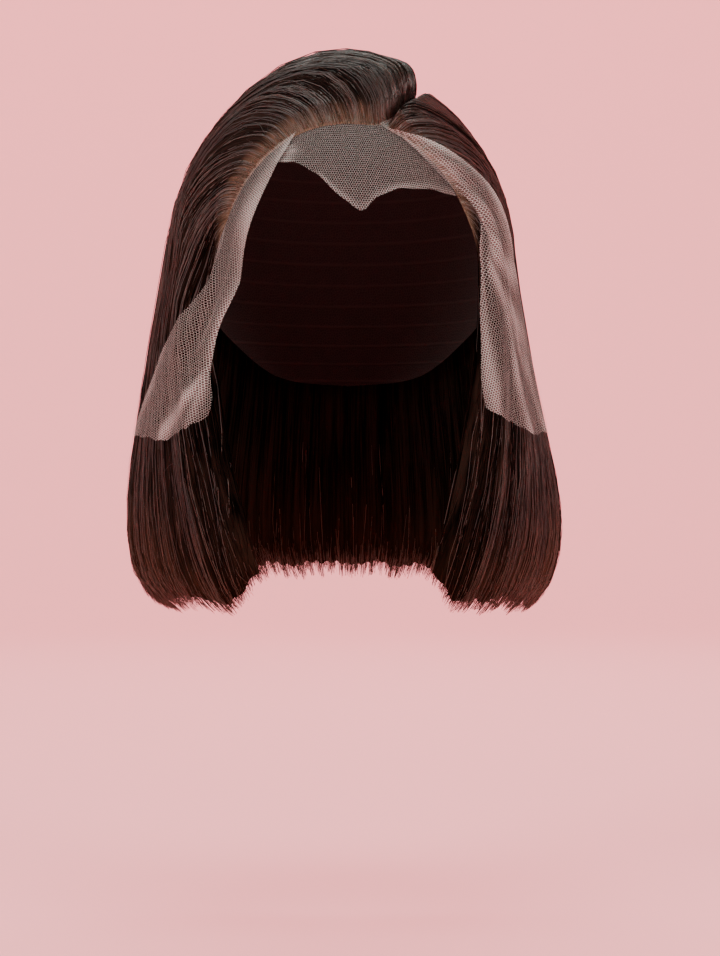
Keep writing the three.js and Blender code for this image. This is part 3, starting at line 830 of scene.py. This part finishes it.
# creases and turned edges, where the lace lies double: from and to as (across, along), half width, how plain
creases = {
    "right": [
        ((1.0, 1.0), (0.97, 2.1), 0.17, 1.0),
        ((0.97, 2.1), (0.86, 2.9), 0.06, 0.7),
        ((0.95, 2.5), (0.42, 2.97), 0.045, 1.0),
        ((0.75, 1.2), (0.62, 2.2), 0.05, 0.25),
        ((0.02, 2.4), (0.03, 3.0), 0.05, 0.5),
    ],
    "left": [
        ((0.0, 1.15), (0.02, 2.0), 0.13, 1.0),
        ((0.4, 1.0), (0.55, 1.65), 0.17, 0.55),
        ((1.0, 1.2), (0.95, 3.0), 0.05, 0.7),
        ((0.85, 1.6), (0.4, 2.2), 0.04, 1.0),
        ((0.8, 1.95), (0.15, 2.3), 0.035, 0.9),
        ((0.85, 2.1), (0.25, 2.55), 0.04, 1.0),
        ((0.62, 2.3), (0.3, 2.7), 0.03, 0.7),
        ((0.6, 2.4), (0.52, 3.0), 0.035, 0.9),
        ((0.3, 2.5), (0.22, 3.0), 0.03, 0.6),
    ],
    "forehead": [((0.0, 1.05), (0.05, 3.0), 0.05, 0.6), ((0.3, 2.95), (1.0, 2.95), 0.05, 0.4)],
}


def foldedAt(part, across, along):
    folded = 0 * across
    for start, end, width, plain in creases[part["name"]]:
        ax, ay = (end[0] - start[0]) / width, (end[1] - start[1]) / (2 * width)
        px, py = (across - start[0]) / width, (along - start[1]) / (2 * width)
        t = np.clip((px * ax + py * ay) / (ax * ax + ay * ay), 0, 1)
        wave = 0.35 * np.sin(7 * t + 30 * width)
        steep = ay * ay > ax * ax  # runs down the lace, so it waves across it
        far = (px - ax * t + wave * steep) ** 2 + (py - ay * t + wave * (not steep)) ** 2
        patchy = 0.75 + 0.25 * np.sin(11 * t + 9 * start[1])
        folded = np.maximum(folded, plain * np.exp(-far) * patchy)
    return folded


def laceForm(part, across, along):
    lines = part["lines"]
    inside = np.clip(across, 0, 1)
    turns = [readRows(lines, "across", inside, name + "Turn") for name in ("tuck", "line", "mid", "end")]
    levels = [(readRows(capEdge, "turn", np.abs(turns[0]), "fall") + lace["capToLace"]) / 90]
    levels += [readRows(lines, "across", inside, name + "Level") for name in ("line", "mid", "end")]
    turn = alongStations(turns, along) + (across - inside) * lace["spillTurn"]
    level = alongStations(levels, along)
    hang = np.clip((along - 1) / part["settle"], 0, 1) if part["settle"] else 0 * along
    beside = (readRows(hairEdge, "level", level, "turn") - turn) / lace["drapeTurn"]
    lying = 1 - (1 - hang) ** 2 if part["folded"] else ease(hang)
    onHair = lying * np.clip(1 - beside, 0, 1)
    rim = np.sign(across - 0.5) * ease((np.abs(across - 0.5) - lace["rimFrom"]) / lace["rimWide"]) * hang
    sideWave = np.sin(5.1 * along + 2 * across) + 0.6 * np.sin(12.7 * along)  # cut by hand
    endWave = np.sin(15 * across + 1) + 0.5 * np.sin(41 * across)
    turn = turn + lace["rimWave"] * rim * sideWave
    level = level + lace["cutWave"] * ease((along - 2.5) / 0.5) * endWave
    pleat = lace["pleat"] * hang * (0.5 - 0.5 * np.cos(2 * np.pi * part["pleats"] * across))
    out = lace["off"] + pleat + (wall["lace"] / 2 if part["settle"] else 0)
    out = out - lace["under"] * (across != inside)  # what runs under the next part lies a little lower
    out = out + lace["foldLift"] * foldedAt(part, across, along)
    return lacePoint(part["side"] * turn, level, onHair, out)


def lacePatch(part):
    rows, tuck = lace["rows"], lace["tuckRows"]
    across = np.linspace(-part["spill"][0], 1 + part["spill"][1], part["columns"] + 1)
    past = np.arange(rows + 1) - tuck
    along = 1 + np.where(past < 0, past / tuck, 2 * past / (rows - tuck))
    a, b = np.meshgrid(across, along)
    return laceForm(part, a, b), a, b


def buildLace():
    parts = MeshParts()
    for n, part in enumerate(laceParts):
        points, a, b = lacePatch(part)
        around = np.arctan2(points[..., 0], -points[..., 1]) * lace["netRadius"]
        tall = points[..., 2]
        c, s = math.cos(part["netTurn"]), math.sin(part["netTurn"])
        net = np.stack([around * c - tall * s, around * s + tall * c], -1)
        flat = np.stack([(inset((a - a.min()) / np.ptp(a)) + n) / 3, inset(b / 3)], -1)
        faces = gridFaces(*a.shape, flip=part["folded"] or part["side"] < 0)
        folded = foldedAt(part, a, b)
        parts.add(points, faces, OFBake=flat, combed=net, folds=np.stack([folded, folded], -1))
    piece = dress(parts.piece("uncut_lace"), (laceMat,), "lace_front")
    areas = np.zeros(len(piece.data.polygons))
    piece.data.polygons.foreach_get("area", areas)
    print("lace area", areas.sum())


buildLace()
print("lace hung")


studio = {
    "floor": -0.44, "flat": 2.4, "bend": 1.2, "wall": 3.6, "flatRings": 3, "bendRings": 14, "sides": 96,
    "pale": (1.0, 0.425, 0.445), "shadeShare": 0.97, "glow": 0.36,
    "lamp": (0.91, 1.0, 0.98), "room": (0.88, 0.88, 0.87), "roomLight": 0.25,
}
lamps = {
    "leftBox": {"place": (-1.5, -1.5, 0.7), "target": (0, 0, -0.12), "size": (0.9, 1.4), "watts": 36},
    "rightBox": {"place": (1.6, -1.3, 0.6), "target": (0, 0, -0.12), "size": (0.9, 1.4), "watts": 28},
    "topBox": {"place": (0.0, -0.5, 1.5), "target": (0, 0, -0.1), "size": (1.0, 0.6), "watts": 16},
    "backBox": {"place": (0.3, 1.9, 0.9), "target": (0, 0, -0.1), "size": (1.4, 1.0), "watts": 6},
    "wallBox": {"place": (0.0, 0.9, 2.2), "target": (0, 3.4, 0.2), "size": (2.6, 0.8), "watts": 70},
}


def buildFloor():  # a round floor that bends up into a wall on all sides
    flat, bend, wallAt = studio["flat"], studio["bend"], studio["wall"]
    profile = [(r, 0.0) for r in np.linspace(0.0, flat, studio["flatRings"] + 1)]
    for a in np.linspace(0.1, math.pi / 2, studio["bendRings"]):
        profile.append((flat + bend * math.sin(a), bend - bend * math.cos(a)))
    profile += [(wallAt, 2 * bend), (wallAt, 3 * bend)]
    turns = np.linspace(0, 2 * np.pi, studio["sides"] + 1)
    rings = [[(r * math.cos(t), r * math.sin(t), z + studio["floor"]) for t in turns] for r, z in profile]
    floor = newMesh("pale_floor", np.array(rings).reshape(-1, 3), gridFaces(len(profile), len(turns)))
    nodes = Nodes("paleFloor")
    place = nodes.add("ShaderNodeTexCoord")["Object"]
    tone = nodes.noise(place, scale=1.5)
    dark = shade(studio["pale"], studio["shadeShare"])
    nodes.set(BaseColor=nodes.mix(tone, studio["pale"], dark), Roughness=0.9)
    nodes.set(EmissionColor=studio["pale"], EmissionStrength=studio["glow"])
    floor.data.materials.append(nodes.material)


def softBox(name, place, target, size, watts):
    light = bpy.data.lights.new(name, "AREA")
    light.shape = "RECTANGLE"
    light.size, light.size_y = size
    light.energy = watts
    light.color = studio["lamp"]
    lamp = bpy.data.objects.new(name, light)
    bpy.context.collection.objects.link(lamp)
    lamp.location = place
    aim = np.array(target) - np.array(place)
    lamp.rotation_euler = Vector(aim).to_track_quat("-Z", "Y").to_euler()


def lightRoom():
    for name, lamp in lamps.items():
        softBox(name, **lamp)
    world = bpy.data.worlds.new("paleRoom")
    world.use_nodes = True
    background = world.node_tree.nodes["Background"].inputs
    background["Color"].default_value = (*studio["room"], 1)
    background["Strength"].default_value = studio["roomLight"]
    bpy.context.scene.world = world


buildFloor()
lightRoom()
print("studio lit")
